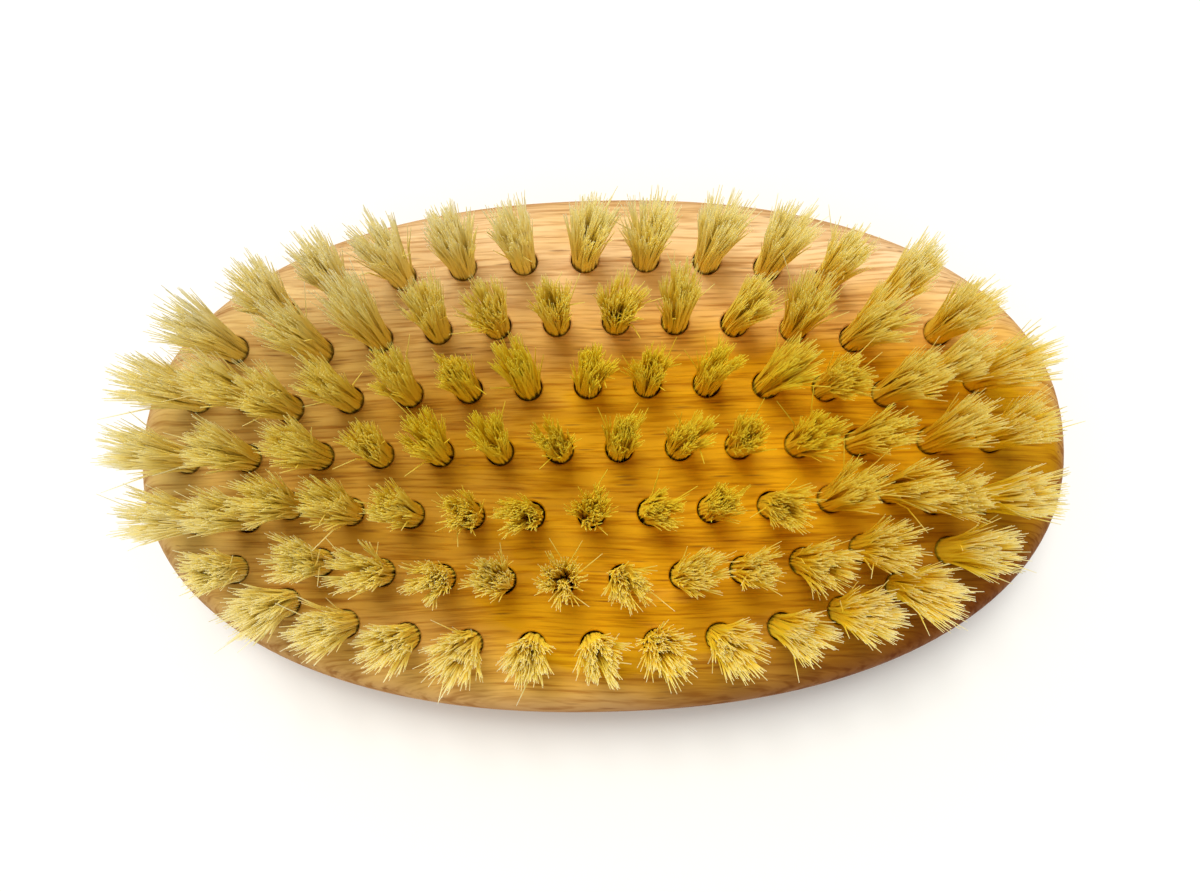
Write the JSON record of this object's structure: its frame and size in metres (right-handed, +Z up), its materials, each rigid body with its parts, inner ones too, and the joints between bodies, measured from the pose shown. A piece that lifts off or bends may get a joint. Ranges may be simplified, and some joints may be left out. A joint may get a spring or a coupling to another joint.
{
  "type": "nail brush",
  "caption": "Oval one-piece wooden nail brush lying on its rounded back, with anchored tufts of natural bristle in an outer oval and staggered bowed rows.",
  "frame": {"origin": "middle of the flat palm side that the brush rests on", "axes": "+X along the length, +Y across the width to the far side of the picture, +Z up along the bristles"},
  "size_m": [0.095, 0.053, 0.0307],
  "materials": {
    "wood": "oiled, satin, grain along the length",
    "bristle": "natural bristle, trimmed uneven"
  },
  "bodies": {
    "root": {"wooden_back": "wood", "tufts_near_outer": "bristle", "tufts_near_inner": "bristle", "tufts_far_inner": "bristle", "tufts_far_outer": "bristle"}
  },
  "joints": []
}
